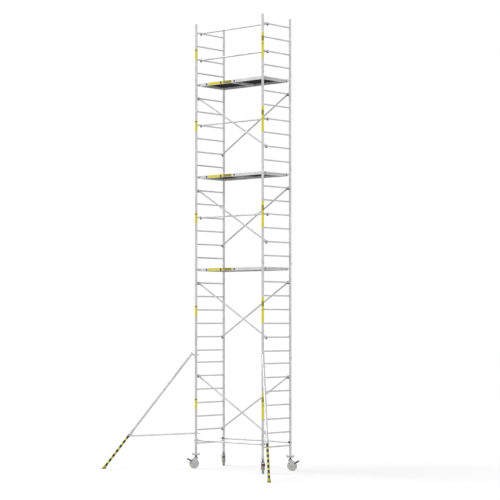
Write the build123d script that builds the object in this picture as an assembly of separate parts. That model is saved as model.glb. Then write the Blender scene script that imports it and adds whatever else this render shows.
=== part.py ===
"""Mobile scaffold tower: stacked welded end frames on braked castors, with decks, braces and outriggers.

Frame: millimetres, +X along the long side, +Y along the short side, +Z up. The origin is the centre
of the tower's base, on the floor. The left frame is at -X, the right frame at +X, and the near side,
which carries the guard rails and both outriggers, is at -Y.
"""
from build123d import *
from math import atan2, degrees, hypot
import os

# Overall layout
LENGTH = 1850.0            # between the two frame planes, upright centre to upright centre
WIDTH = 850.0              # between the two uprights of a frame, centre to centre
FRAMES = 5                 # frames stacked on each side
RUNGS = 7                  # rungs of a full frame
TOP_RUNGS = 4              # rungs of the short top frame
PITCH = 280.0              # rung to rung inside a frame
FIRST_RUNG = 520.0         # height of the lowest rung
TUBE_ABOVE = 55.0          # upright above its top rung
TUBE_BELOW = 195.0         # upright below its lowest rung, on every frame but the first
FOOT_BELOW = 220.0         # upright below the lowest rung of the first frame

# End frames
UPRIGHT_R = 25.0
UPRIGHT_WALL = 3.0
RUNG_R = 15.0
RUNG_WALL = 2.0

# Frame joints
SPIGOT_GAP = 0.1
SPIGOT_WALL = 3.0
SPIGOT_REACH = 125.0       # half of the spigot's length, to each side of the joint
SPIGOT_STEP = 1.0          # lower half, held inside the upright, is thinner by this much
PIN_R = 4.0
PIN_HEIGHT = 40.0          # pin above the joint
PIN_HEAD_R = 11.0
PIN_HEAD = 4.0
PIN_PROUD = 6.0
HOLE_GAP = 0.1
OVER = 1.0                 # how far a cut runs past what it cuts

# Braces and their claws
BRACE_R = 16.0
BRACE_WALL = 2.0
CLAW_OUT = 30.0            # outer radius of the hook round a rung
CLAW_GAP = 0.3
CLAW_WIDTH = 22.0
SHANK_R = 19.0
SPINE_R = 14.0             # bar inside the ends of a base brace
SHANK_END = 92.0           # from the rung's axis to the brace tube
NEAR_INSET = (72.0, 110.0)      # near diagonals from the near upright: left end, right end
FAR_INSET = (45.0, 65.0)        # far diagonals from the far upright: left end, right end
RAIL_INSET = (150.0, 150.0)
LATCH_DEPTH = 26.0
LATCH_WIDTH = 20.0
HIGH_RUNGS = (6, 13, 20, 27)    # upper ends of the diagonals
LOW_RUNGS = (2, 9, 16, 23)      # lower ends of the diagonals
RAIL_RUNGS = (18, 25, 30, 32)
BASE_HEIGHT = 580.0
BASE_CLAW_OUT = 40.0
BASE_CLAW_HEIGHT = 30.0
BASE_TRIGGER = 8.0         # trigger above the claw
BASE_LATCH_DEPTH = 16.0

# Decks
DECK_RUNGS = (14, 21, 28)
DECK_HALF_WIDTH = 385.0
DECK_END_GAP = 40.0        # from the frame plane to the deck's end beam
BEAM_WIDTH = 30.0
BEAM_DEPTH = 58.0
BEAM_WALL = 3.0
DECK_TOP = 20.0            # deck surface above the rung's axis
PANEL = 10.0
PANEL_GAP = 2.0
HOOK_WALL = 9.0
HOOK_WIDTH = 45.0
HOOK_INSET = 60.0          # hook centre from the deck's side
LOCK_DEPTH = 10.0
LOCK_WIDTH = 30.0
GRIP_HOLE = (110.0, 34.0)
GRIP_INSET = 68.0          # centre of the grip hole from the hatch's free edge

# Castors
WHEEL_R = 100.0
WHEEL_WIDTH = 46.0
WHEEL_ROUND = 6.0
RIM_R = 78.0               # inside of the tread, where the web is set back
WEB = 23.0
HUB_R = 30.0
HUB_WIDTH = 54.0
TRAIL = 38.0
AXLE_R = 8.0
AXLE_HEAD_R = 12.8
RUN_GAP = 0.08
FORK_PLATE = 5.0
FORK_SIDE_GAP = 1.0
FORK_TOP = 228.0
CROWN = 16.0
CROWN_R = 42.0
KINGPIN_R = 10.0
FLANGE_R = 34.0
FLANGE = 12.0
STEM_R = 18.0
STEM_WALL = 5.0
STEM_INSIDE = 360.0        # stem inside the upright when the leg is wound right in
NUT_R = 31.0
NUT_HEIGHT = 30.0
EAR_REACH = 77.0
EAR_THICK = 9.0
EAR_RISE = 20.0
PEDAL_PIVOT = (86.0, 150.0)
PEDAL_END = (180.0, 203.0)
PEDAL_PLATE = 4.0
PEDAL_TREAD = 40.0
PEDAL_BOSS = 13.0
PEDAL_PIN_R = 5.0
CORNERS = {"left": (-1, -1), "back": (-1, 1), "front": (1, -1), "right": (1, 1)}

# Outriggers
ARM_TOP = (84.0, 2391.0)   # reach and height of the tube's upper end
ARM_FOOT = (1916.0, 0.0)   # reach and height where the tube's axis meets the floor
LEG_R = 24.3
LEG_WALL = 3.0
ARM_GAP = 0.1
ARM_WALL = 2.5
ARM_LENGTH = 2150.0        # upper tube
LEG_INSIDE = 650.0         # lower tube inside the upper one
SOLE_LENGTH = 78.0         # rubber foot from its top to the floor, along the tube's axis
SOLE_TOP_R = 29.0
SOLE_R = 39.0
SOLE_SOCKET = 30.0
CLAMP_WALL = 9.0
CLAMP_GAP = 0.1
CLAMP_HEIGHT = 36.0
CLAMP_WIDTH = 34.0
UPPER_CLAMP = 2353.0
LOWER_CLAMP = 727.0
STAY_R = 15.0
STAY_WALL = 2.0
STAY_END = (1342.0, 676.0)
STAY_LUG = 26.0
BAND = 34.0
BOLT_R = 6.0
BOLT_REACH = 92.0
WING_SPAN = 56.0

# Values that follow from those above
HALF_L = LENGTH / 2
HALF_W = WIDTH / 2
STACK = (RUNGS - 1) * PITCH + TUBE_ABOVE + TUBE_BELOW
BORE_R = UPRIGHT_R - UPRIGHT_WALL
SPIGOT_R = BORE_R - SPIGOT_GAP
BASE_END = FIRST_RUNG - FOOT_BELOW
ARM_R = LEG_R + ARM_GAP + ARM_WALL
ARM_RUN = hypot(ARM_FOOT[0] - ARM_TOP[0], ARM_TOP[1] - ARM_FOOT[1])
ARM_OUT = (ARM_FOOT[0] - ARM_TOP[0]) / ARM_RUN
ARM_DOWN = (ARM_TOP[1] - ARM_FOOT[1]) / ARM_RUN


def rung_height(number):
    """Height of a rung, counted from 1 at the bottom of the tower."""
    frame, step = divmod(number - 1, RUNGS)
    return FIRST_RUNG + frame * STACK + step * PITCH


def joint_height(frame):
    """Height of the joint between a frame and the one above it, counted from 1."""
    return rung_height(frame * RUNGS) + TUBE_ABOVE


def rod(start, end, radius):
    """A round bar between two points."""
    start = Vector(*start)
    end = Vector(*end)
    along = end - start
    return extrude(Plane(origin=start, z_dir=along) * Circle(radius), amount=along.length)


def tube(start, end, radius, wall):
    """A round tube between two points, open at both ends."""
    start = Vector(*start)
    end = Vector(*end)
    along = (end - start).normalized()
    return rod(start, end, radius) - rod(start - along, end + along, radius - wall)


def block(low, high):
    """A box between its lowest and highest corners."""
    size = [b - a for a, b in zip(low, high)]
    centre = [(a + b) / 2 for a, b in zip(low, high)]
    return Pos(*centre) * Box(*size)


def write(name, solids):
    """Write the separate solids of one node."""
    pieces = []
    for item in solids:
        pieces.extend(item.solids())
    export_step(Compound(children=pieces), f"parts/{name}.step")


# End frames: two uprights with coped rungs welded between them, drilled for the joint pins

def rung():
    body = tube((0, -HALF_W, 0), (0, HALF_W, 0), RUNG_R, RUNG_WALL)
    for side in (-1, 1):
        body -= Pos(0, side * HALF_W, 0) * Cylinder(UPRIGHT_R, 3 * RUNG_R)
    return body


def upright(low, high, drilled):
    body = tube((0, 0, low), (0, 0, high), UPRIGHT_R, UPRIGHT_WALL)
    if drilled:
        z = low + PIN_HEIGHT
        body -= rod((-UPRIGHT_R - OVER, 0, z), (UPRIGHT_R + OVER, 0, z), PIN_R + HOLE_GAP)
    return body


def end_frame(side, number, cross):
    first = (number - 1) * RUNGS + 1
    count = RUNGS if number < FRAMES else TOP_RUNGS
    low = BASE_END if number == 1 else joint_height(number - 1)
    high = rung_height(first + count - 1) + TUBE_ABOVE
    post = upright(low, high, number > 1)
    solids = [Pos(side * HALF_L, y, 0) * post for y in (-HALF_W, HALF_W)]
    for k in range(first, first + count):
        solids.append(Pos(side * HALF_L, 0, rung_height(k)) * cross)
    return solids


def frame_joints():
    """Spigots in every joint and on top of the tower, and a headed pin through each joint."""
    top = rung_height((FRAMES - 1) * RUNGS + TOP_RUNGS) + TUBE_ABOVE
    spigot = tube((0, 0, 0), (0, 0, SPIGOT_REACH), SPIGOT_R, SPIGOT_WALL)
    spigot += tube((0, 0, -SPIGOT_REACH), (0, 0, 0), SPIGOT_R - SPIGOT_STEP, SPIGOT_WALL - SPIGOT_STEP)
    hole = rod((-UPRIGHT_R, 0, PIN_HEIGHT), (UPRIGHT_R, 0, PIN_HEIGHT), PIN_R + HOLE_GAP)
    shank = rod((-UPRIGHT_R - PIN_PROUD, 0, 0), (UPRIGHT_R + PIN_PROUD, 0, 0), PIN_R)
    head = rod((UPRIGHT_R + PIN_PROUD, 0, 0), (UPRIGHT_R + PIN_PROUD + PIN_HEAD, 0, 0), PIN_HEAD_R)
    pin = shank + head
    spigots = []
    pins = []
    for x in (-HALF_L, HALF_L):
        turn = 180 if x < 0 else 0
        for y in (-HALF_W, HALF_W):
            for number in range(1, FRAMES):
                z = joint_height(number)
                spigots.append(Pos(x, y, z) * (spigot - hole))
                pins.append(Pos(x, y, z + PIN_HEIGHT) * Rot(0, 0, turn) * pin)
            spigots.append(Pos(x, y, top) * spigot)
    return spigots, pins


# Braces: a tube between two cast claws that hook over the rungs, each closed by a latch

def rung_claw(toward):
    """Claw hooked over a rung at the origin, with its shank along the brace."""
    inner = RUNG_R + CLAW_GAP
    ring = Plane.XZ * Circle(CLAW_OUT)
    body = extrude(ring, amount=CLAW_WIDTH / 2, both=True)
    body += rod((0, 0, 0), toward * SHANK_END, SHANK_R)
    side = SHANK_R + OVER
    throat = block((-inner, -side, -CLAW_OUT - LATCH_DEPTH), (inner, side, 0))
    return body - rod((0, -side, 0), (0, side, 0), inner) - throat


def rung_latch():
    """Sliding latch under the rung, between the cheeks of the claw."""
    top = -RUNG_R - CLAW_GAP
    body = block((-RUNG_R, -LATCH_WIDTH / 2, top - LATCH_DEPTH), (RUNG_R, LATCH_WIDTH / 2, top))
    edges = body.edges().filter_by(Axis.Y).group_by(Axis.Z)[0]
    return fillet(edges, LATCH_DEPTH / 4)


def brace(left, right):
    """The tube, claws and latches of one brace between two points on the rungs' axes."""
    start = Vector(*left)
    end = Vector(*right)
    toward = (end - start).normalized()
    pipe = tube(start + toward * SHANK_END, end - toward * SHANK_END, BRACE_R, BRACE_WALL)
    claws = [Pos(*start) * rung_claw(toward), Pos(*end) * rung_claw(-toward)]
    latch = rung_latch()
    return [pipe, *claws], [Pos(*start) * latch, Pos(*end) * latch]


def brace_set(pairs):
    """Several braces, each given by its two ends."""
    bars = []
    latches = []
    for left, right in pairs:
        bar, pair = brace(left, right)
        bars.extend(bar)
        latches.extend(pair)
    return bars, latches


def near_ends():
    for high, low in zip(HIGH_RUNGS, LOW_RUNGS):
        left = (-HALF_L, -HALF_W + NEAR_INSET[0], rung_height(high))
        yield left, (HALF_L, -HALF_W + NEAR_INSET[1], rung_height(low))


def far_ends():
    for high, low in zip(HIGH_RUNGS, LOW_RUNGS):
        left = (-HALF_L, HALF_W - FAR_INSET[0], rung_height(low))
        yield left, (HALF_L, HALF_W - FAR_INSET[1], rung_height(high))


def rail_ends():
    for number in RAIL_RUNGS:
        z = rung_height(number)
        left = (-HALF_L, -HALF_W + RAIL_INSET[0], z)
        yield left, (HALF_L, -HALF_W + RAIL_INSET[1], z)


def base_brace(side):
    """Brace that clips on two uprights from outside, its throats open towards the tower."""
    y = side * HALF_W
    inner = UPRIGHT_R + CLAW_GAP
    low = BASE_HEIGHT - BASE_CLAW_HEIGHT / 2
    high = BASE_HEIGHT + BASE_CLAW_HEIGHT / 2
    solids = [tube((-HALF_L + SHANK_END, y, BASE_HEIGHT), (HALF_L - SHANK_END, y, BASE_HEIGHT),
                   BRACE_R, BRACE_WALL)]
    latches = []
    for end in (-1, 1):
        x = end * HALF_L
        claw = rod((x, y, low), (x, y, high), BASE_CLAW_OUT)
        claw += rod((x, y, BASE_HEIGHT), (x - end * SHANK_END, y, BASE_HEIGHT), SPINE_R)
        claw += rod((x - end * BASE_CLAW_OUT, y, BASE_HEIGHT),
                    (x - end * SHANK_END, y, BASE_HEIGHT), SHANK_R)
        claw -= rod((x, y, low - SHANK_R), (x, y, high + SHANK_R), inner)
        reach = sorted((y, y - side * (BASE_CLAW_OUT + OVER)))
        claw -= block((x - inner, reach[0], low - SHANK_R), (x + inner, reach[1], high + SHANK_R))
        solids.append(claw)
        span = sorted((y - side * inner, y - side * (inner + BASE_LATCH_DEPTH)))
        latches.append(block((x - UPRIGHT_R, span[0], low), (x + UPRIGHT_R, span[1],
                                                             high + BASE_TRIGGER)))
    return solids, latches


# Decks: an aluminium frame with hooks, a fixed panel, a hinged hatch and wind locks under the hooks

def deck_sizes(rung_number):
    z = rung_height(rung_number)
    return {
        "rung": z,
        "top": z + DECK_TOP,
        "low": z + DECK_TOP - BEAM_DEPTH,
        "seat": z + DECK_TOP - PANEL,
        "end": HALF_L - DECK_END_GAP,
        "inner_x": HALF_L - DECK_END_GAP - BEAM_WIDTH,
        "inner_y": DECK_HALF_WIDTH - BEAM_WIDTH,
    }


def box_beam(low, high, axis):
    """A hollow rectangular beam, open at its two ends along the given axis."""
    inside_low = [a + BEAM_WALL for a in low]
    inside_high = [b - BEAM_WALL for b in high]
    inside_low[axis] = low[axis] - OVER
    inside_high[axis] = high[axis] + OVER
    return block(low, high) - block(inside_low, inside_high)


def deck_hook(d, end, y):
    """Hook over the rung, joined to the deck's end beam by a level arm."""
    inner = RUNG_R + CLAW_GAP
    x = end * HALF_L
    low_y = y - HOOK_WIDTH / 2
    high_y = y + HOOK_WIDTH / 2
    hook = rod((x, low_y, d["rung"]), (x, high_y, d["rung"]), inner + HOOK_WALL)
    arm = sorted((x, end * d["end"]))
    hook += block((arm[0], low_y, d["rung"] - inner - HOOK_WALL), (arm[1], high_y, d["top"]))
    hook -= rod((x, low_y - OVER, d["rung"]), (x, high_y + OVER, d["rung"]), inner)
    throat_low = (x - inner, low_y - OVER, d["rung"] - inner - HOOK_WALL - OVER)
    return hook - block(throat_low, (x + inner, high_y + OVER, d["rung"]))


def hook_places():
    for end in (-1, 1):
        for side in (-1, 1):
            yield end, side * (DECK_HALF_WIDTH - HOOK_INSET)


def deck_frame(d):
    solids = []
    for side in (-1, 1):
        ys = sorted((side * d["inner_y"], side * DECK_HALF_WIDTH))
        solids.append(box_beam((-d["end"], ys[0], d["low"]), (d["end"], ys[1], d["top"]), 0))
    for end in (-1, 0, 1):
        centre = end * (d["end"] - BEAM_WIDTH / 2)
        low = (centre - BEAM_WIDTH / 2, -d["inner_y"], d["low"])
        high = (centre + BEAM_WIDTH / 2, d["inner_y"], d["seat"])
        solids.append(box_beam(low, high, 1))
    solids.extend(deck_hook(d, end, y) for end, y in hook_places())
    return solids


def deck_panel(d):
    """Plywood panel over the right half, lying on the end beam and the middle beam."""
    edge = d["end"] - PANEL_GAP
    side = d["inner_y"] - PANEL_GAP
    return block((PANEL_GAP / 2, -side, d["seat"]), (edge, side, d["top"]))


def deck_hatch(d):
    """Plywood hatch over the left half, hinged along the far side, with a grip hole."""
    edge = d["end"] - PANEL_GAP
    side = d["inner_y"] - PANEL_GAP
    board = block((-edge, -side, d["seat"]), (-PANEL_GAP / 2, side, d["top"]))
    x = -edge / 2
    y = -side + GRIP_INSET
    half_length = GRIP_HOLE[0] / 2
    half_width = GRIP_HOLE[1] / 2
    return board - block((x - half_length, y - half_width, d["seat"] - OVER),
                         (x + half_length, y + half_width, d["top"] + OVER))


def wind_locks(d):
    """Flat bolts under the rung that slide sideways in the hooks."""
    locks = []
    top = d["rung"] - RUNG_R - CLAW_GAP
    for end, y in hook_places():
        x = end * HALF_L
        locks.append(block((x - RUNG_R, y - LOCK_WIDTH / 2, top - LOCK_DEPTH),
                           (x + RUNG_R, y + LOCK_WIDTH / 2, top)))
    return locks


# Castors: a threaded leg with its wing nut, a swivelling fork, a wheel and a brake pedal

def castor_leg():
    """Hollow threaded stem on a flange, with the kingpin that the fork turns on."""
    stem_low = FORK_TOP + FLANGE
    stem = tube((0, 0, stem_low), (0, 0, BASE_END + STEM_INSIDE), STEM_R, STEM_WALL)
    flange = rod((0, 0, FORK_TOP), (0, 0, stem_low), FLANGE_R)
    kingpin = rod((0, 0, FORK_TOP - CROWN), (0, 0, FORK_TOP), KINGPIN_R)
    return stem + flange + kingpin


def leg_nut():
    """Wing nut on the stem, carrying the bottom end of the upright."""
    low = BASE_END - NUT_HEIGHT
    nut = rod((0, 0, low), (0, 0, BASE_END), NUT_R)
    for end in (-1, 1):
        xs = sorted((end * (NUT_R - EAR_THICK), end * EAR_REACH))
        ear = block((xs[0], -EAR_THICK / 2, low), (xs[1], EAR_THICK / 2, BASE_END))
        tips = sorted((end * (EAR_REACH - NUT_R), end * EAR_REACH))
        ear += block((tips[0], -EAR_THICK / 2, low + EAR_THICK),
                     (tips[1], EAR_THICK / 2, BASE_END + EAR_RISE))
        nut += ear
    return nut - rod((0, 0, low - OVER), (0, 0, BASE_END + OVER), STEM_R + RUN_GAP)


def fork_outline():
    """Side view of a fork arm: the hull of the crown, the axle boss and the pedal's pivot."""
    crown = Pos(0, FORK_TOP - CROWN / 2) * Rectangle(2 * CROWN_R, CROWN)
    boss = Pos(TRAIL, WHEEL_R) * Circle(HUB_R)
    pivot = Pos(*PEDAL_PIVOT) * Circle(PEDAL_BOSS)
    return make_hull([*crown.edges(), *boss.edges(), *pivot.edges()])


def castor_fork():
    """Crown and two arms as one casting, with the axle bolt as a separate piece."""
    inside = HUB_WIDTH / 2 + FORK_SIDE_GAP
    arm = extrude(Plane.XZ * fork_outline(), amount=FORK_PLATE)
    low = FORK_TOP - CROWN
    fork = rod((0, 0, low), (0, 0, FORK_TOP - CLAW_GAP), CROWN_R)
    fork += block((-CROWN_R, -inside, low), (CROWN_R, inside, FORK_TOP - CLAW_GAP))
    fork += Pos(0, -inside, 0) * arm
    fork += Pos(0, inside + FORK_PLATE, 0) * arm
    fork -= block((-2 * WHEEL_R, -inside, 0), (2 * WHEEL_R, inside, low))
    fork -= block((-2 * WHEEL_R, -2 * WHEEL_R, FORK_TOP - CLAW_GAP),
                  (2 * WHEEL_R, 2 * WHEEL_R, FORK_TOP + OVER))
    fork -= rod((0, 0, low - OVER), (0, 0, FORK_TOP + OVER), KINGPIN_R + RUN_GAP)
    reach = inside + FORK_PLATE
    fork -= rod((TRAIL, -reach - OVER, WHEEL_R), (TRAIL, reach + OVER, WHEEL_R), AXLE_R)
    for side in (-1, 1):
        fork += rod((PEDAL_PIVOT[0], side * reach, PEDAL_PIVOT[1]),
                    (PEDAL_PIVOT[0], side * (reach + FORK_SIDE_GAP + PEDAL_PLATE), PEDAL_PIVOT[1]),
                    PEDAL_PIN_R)
    axle = rod((TRAIL, -reach, WHEEL_R), (TRAIL, reach, WHEEL_R), AXLE_R)
    for side in (-1, 1):
        axle += rod((TRAIL, side * reach, WHEEL_R),
                    (TRAIL, side * (reach + AXLE_R), WHEEL_R), AXLE_HEAD_R)
    return [fork, axle]


def castor_wheel():
    """Solid plastic wheel with a recessed web, a long hub and rounded tread edges."""
    half = WHEEL_WIDTH / 2
    tread = rod((0, -half, 0), (0, half, 0), WHEEL_R)
    tread = fillet(tread.edges(), WHEEL_ROUND)
    for side in (-1, 1):
        recess = rod((0, side * WEB / 2, 0), (0, side * (half + OVER), 0), RIM_R)
        tread -= recess
    wheel = tread + rod((0, -HUB_WIDTH / 2, 0), (0, HUB_WIDTH / 2, 0), HUB_R)
    wheel -= rod((0, -HUB_WIDTH, 0), (0, HUB_WIDTH, 0), AXLE_R + RUN_GAP)
    return Pos(TRAIL, 0, WHEEL_R) * wheel


def brake_pedal():
    """U-shaped pedal: an arm on each side of the fork and a foot plate beyond the wheel."""
    inside = HUB_WIDTH / 2 + 2 * FORK_SIDE_GAP + FORK_PLATE
    outside = inside + PEDAL_PLATE
    rise = degrees(atan2(PEDAL_END[1] - PEDAL_PIVOT[1], PEDAL_END[0] - PEDAL_PIVOT[0]))
    reach = hypot(PEDAL_END[1] - PEDAL_PIVOT[1], PEDAL_END[0] - PEDAL_PIVOT[0])
    boss = rod((0, -outside, 0), (0, outside, 0), PEDAL_BOSS)
    arms = boss + block((0, -outside, -PEDAL_BOSS), (reach, outside, PEDAL_BOSS))
    arms -= block((-reach, -inside, -reach), (reach - PEDAL_TREAD, inside, reach))
    arms -= rod((0, -outside - OVER, 0), (0, outside + OVER, 0), PEDAL_PIN_R + RUN_GAP)
    return Pos(PEDAL_PIVOT[0], 0, PEDAL_PIVOT[1]) * Rot(0, -rise, 0) * arms


# Outriggers: a telescopic raker and a level stay, both clamped to a near upright

def arm_point(along):
    """Reach and height of a point on the raker's axis, measured from its upper end."""
    return ARM_TOP[0] + along * ARM_OUT, ARM_TOP[1] - along * ARM_DOWN


def on_arm(along):
    reach, height = arm_point(along)
    return reach, 0, height


def clamp(height, reach):
    """Collar round the upright with a level arm out to the given reach."""
    low = height - CLAMP_HEIGHT / 2
    high = height + CLAMP_HEIGHT / 2
    inner = UPRIGHT_R + CLAMP_GAP
    collar = rod((0, 0, low), (0, 0, high), inner + CLAMP_WALL)
    collar += block((0, -CLAMP_WIDTH / 2, low), (reach, CLAMP_WIDTH / 2, high))
    return collar - rod((0, 0, low - CLAMP_HEIGHT), (0, 0, high + CLAMP_HEIGHT), inner)


def wing_bolt(height):
    """Clamping bolt with a wing, on the side of the collar away from the raker."""
    start = -UPRIGHT_R - CLAMP_GAP - CLAMP_WALL
    bolt = rod((start, 0, height), (-BOLT_REACH, 0, height), BOLT_R)
    half = WING_SPAN / 2
    wing = block((-BOLT_REACH, -half, height - BOLT_R), (-BOLT_REACH + 2 * BOLT_R, half, height + BOLT_R))
    return bolt + wing


def raker_tube():
    pipe = tube(on_arm(0), on_arm(ARM_LENGTH), ARM_R, ARM_WALL)
    reach = ARM_TOP[0] + (ARM_TOP[1] - UPPER_CLAMP) * ARM_OUT / ARM_DOWN
    holder = clamp(UPPER_CLAMP, reach) - rod(on_arm(-ARM_R), on_arm(ARM_LENGTH), ARM_R)
    return [pipe, max(holder.solids(), key=lambda solid: solid.volume), wing_bolt(UPPER_CLAMP)]


def raker_leg():
    return tube(on_arm(ARM_LENGTH - LEG_INSIDE), on_arm(ARM_RUN - SOLE_LENGTH + SOLE_SOCKET),
                LEG_R, LEG_WALL)


def raker_foot():
    """Flared rubber foot on the end of the leg, cut level with the floor."""
    start = ARM_RUN - SOLE_LENGTH
    flare = Cone(SOLE_TOP_R, SOLE_R, 2 * SOLE_LENGTH, align=(Align.CENTER, Align.CENTER, Align.MIN))
    place = Plane(origin=on_arm(start), z_dir=(ARM_OUT, 0, -ARM_DOWN))
    foot = place.location * flare
    foot -= rod(on_arm(start - OVER), on_arm(start + SOLE_SOCKET), LEG_R)
    far = 2 * ARM_FOOT[0]
    return foot - block((0, -far, -far), (far, far, 0))


def stay():
    """Level stay from a collar on the upright to a lug under the raker's lower end."""
    collar_reach = UPRIGHT_R + CLAMP_WALL + CLAMP_GAP + CLAMP_HEIGHT / 2
    collar = clamp(LOWER_CLAMP, collar_reach)
    start = (collar_reach, 0, LOWER_CLAMP)
    end = (STAY_END[0] - STAY_LUG / 2, 0, STAY_END[1])
    bar = tube(start, end, STAY_R, STAY_WALL)
    bar -= block((0, -STAY_R, 0), (collar_reach, STAY_R, ARM_TOP[1]))
    bar -= block((end[0], -STAY_R, 0), (end[0] + STAY_LUG, STAY_R, ARM_TOP[1]))
    along = (STAY_END[0] - ARM_TOP[0]) / ARM_OUT
    band = rod(on_arm(along - BAND / 2), on_arm(along + BAND / 2), ARM_R + CLAMP_WALL)
    lug = block((end[0], -STAY_LUG / 2, STAY_END[1] - STAY_R),
                (end[0] + STAY_LUG, STAY_LUG / 2, arm_point(along)[1]))
    holder = band + lug - rod(on_arm(0), on_arm(ARM_RUN), ARM_R)
    return [collar, bar, max(holder.solids(), key=lambda solid: solid.volume), wing_bolt(LOWER_CLAMP)]


def placed(solids, corner):
    """Solids made at a corner with outward along +X, moved to their own corner of the tower."""
    sx, sy = CORNERS[corner]
    turn = degrees(atan2(sy, sx))
    return [Pos(sx * HALF_L, sy * HALF_W, 0) * Rot(0, 0, turn) * solid for solid in solids]


os.makedirs("parts", exist_ok=True)

cross = rung()
for side, name in ((-1, "left"), (1, "right")):
    for number in range(1, FRAMES + 1):
        write(f"{name}_frame_{number}", end_frame(side, number, cross))

spigots, pins = frame_joints()
write("joint_spigots", spigots)
write("joint_pins", pins)

for name, ends in (("near_diagonals", near_ends()), ("far_diagonals", far_ends()),
                   ("guard_rails", rail_ends())):
    bars, latches = brace_set(ends)
    write(name, bars)
    write(f"{name}_latches", latches)

base_bars = []
base_latches = []
for side in (-1, 1):
    bars, latches = base_brace(side)
    base_bars.extend(bars)
    base_latches.extend(latches)
write("base_braces", base_bars)
write("base_braces_latches", base_latches)

for number, rung_number in enumerate(DECK_RUNGS, 1):
    sizes = deck_sizes(rung_number)
    write(f"deck_{number}_frame", deck_frame(sizes))
    write(f"deck_{number}_panel", [deck_panel(sizes)])
    write(f"deck_{number}_hatch", [deck_hatch(sizes)])
    write(f"deck_{number}_wind_locks", wind_locks(sizes))

for corner in CORNERS:
    write(f"castor_leg_{corner}", placed([castor_leg()], corner))
    write(f"leg_nut_{corner}", placed([leg_nut()], corner))
    write(f"castor_fork_{corner}", placed(castor_fork(), corner))
    write(f"castor_wheel_{corner}", placed([castor_wheel()], corner))
    write(f"brake_pedal_{corner}", placed([brake_pedal()], corner))

for corner in ("left", "front"):
    write(f"outrigger_tube_{corner}", placed(raker_tube(), corner))
    write(f"outrigger_leg_{corner}", placed([raker_leg()], corner))
    write(f"outrigger_foot_{corner}", placed([raker_foot()], corner))
    write(f"outrigger_stay_{corner}", placed(stay(), corner))
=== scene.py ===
from math import atan2, cos, pi, radians, sin, sqrt

import bpy
from mathutils import Matrix, Vector


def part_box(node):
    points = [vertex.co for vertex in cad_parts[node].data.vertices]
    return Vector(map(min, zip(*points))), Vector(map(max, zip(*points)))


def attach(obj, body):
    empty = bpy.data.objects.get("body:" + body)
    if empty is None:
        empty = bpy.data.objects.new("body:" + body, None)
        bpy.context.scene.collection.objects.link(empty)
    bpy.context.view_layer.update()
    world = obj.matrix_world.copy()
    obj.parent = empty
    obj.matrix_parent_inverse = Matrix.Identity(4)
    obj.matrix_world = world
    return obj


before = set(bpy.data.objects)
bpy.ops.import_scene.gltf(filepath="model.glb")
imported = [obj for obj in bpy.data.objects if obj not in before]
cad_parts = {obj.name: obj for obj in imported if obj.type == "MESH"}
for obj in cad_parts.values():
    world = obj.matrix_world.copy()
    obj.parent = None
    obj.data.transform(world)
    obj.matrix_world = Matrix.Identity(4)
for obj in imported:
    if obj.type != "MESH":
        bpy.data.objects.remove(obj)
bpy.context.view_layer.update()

# Studio. A white sheet of floor out to the horizon, even daylight from all round, and one broad
# soft sun high on the left. Both are level everywhere, so the floor stays one white.

FLOOR_WHITE = (0.95, 0.95, 0.95, 1.0)
FLOOR_SIDE = 1200.0
FLOOR_LIT = 0.15
FLOOR_GLOW = 2.65
SKY_LIGHT = 0.45
SUN_STRENGTH = 1.15
SUN_SPREAD = radians(38)
SUN_FROM = Vector((-0.62, -0.40, 0.95))
FILL_STRENGTH = 0.35
FILL_FROM = Vector((0.85, -0.60, 0.30))

bpy.ops.object.select_all(action="DESELECT")
bpy.ops.mesh.primitive_plane_add(size=FLOOR_SIDE, location=(0.0, 0.0, 0.0))
floor = bpy.context.object
floor.name = "studio_floor"

floor_paint = bpy.data.materials.new("studio_floor_white")
floor_paint.use_nodes = True
floor_nodes = floor_paint.node_tree.nodes
floor_links = floor_paint.node_tree.links
floor_matt = floor_nodes["Principled BSDF"]
floor_matt.inputs["Base Color"].default_value = FLOOR_WHITE
floor_matt.inputs["Roughness"].default_value = 1.0
floor_matt.inputs["Specular IOR Level"].default_value = 0.0
floor_glow = floor_nodes.new("ShaderNodeEmission")
floor_glow.inputs["Strength"].default_value = FLOOR_GLOW
floor_mix = floor_nodes.new("ShaderNodeMixShader")
floor_rays = floor_nodes.new("ShaderNodeLightPath")
floor_share = floor_nodes.new("ShaderNodeMath")
floor_share.operation = "MULTIPLY"
floor_share.inputs[1].default_value = FLOOR_LIT
floor_links.new(floor_rays.outputs["Is Camera Ray"], floor_share.inputs[0])
floor_links.new(floor_share.outputs[0], floor_mix.inputs[0])
floor_links.new(floor_matt.outputs[0], floor_mix.inputs[1])
floor_links.new(floor_glow.outputs[0], floor_mix.inputs[2])
floor_links.new(floor_mix.outputs[0], floor_nodes["Material Output"].inputs["Surface"])
floor.data.materials.append(floor_paint)

# The sky is white to the camera and in mirrors, and dimmer as a source of light.
world = bpy.data.worlds.new("studio_light")
bpy.context.scene.world = world
world.use_nodes = True
sky = world.node_tree.nodes
sky_links = world.node_tree.links
rays = sky.new("ShaderNodeLightPath")
seen = sky.new("ShaderNodeMath")
seen.operation = "ADD"
seen_or_clear = sky.new("ShaderNodeMath")
seen_or_clear.operation = "ADD"
seen_or_clear.use_clamp = True
level = sky.new("ShaderNodeMapRange")
level.inputs["To Min"].default_value = SKY_LIGHT
level.inputs["To Max"].default_value = 1.0
sky_links.new(rays.outputs["Is Camera Ray"], seen.inputs[0])
sky_links.new(rays.outputs["Is Glossy Ray"], seen.inputs[1])
sky_links.new(seen.outputs[0], seen_or_clear.inputs[0])
sky_links.new(rays.outputs["Is Transmission Ray"], seen_or_clear.inputs[1])
sky_links.new(seen_or_clear.outputs[0], level.inputs["Value"])
sky_links.new(level.outputs["Result"], sky["Background"].inputs["Strength"])
sky["Background"].inputs["Color"].default_value = (1.0, 1.0, 1.0, 1.0)


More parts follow.
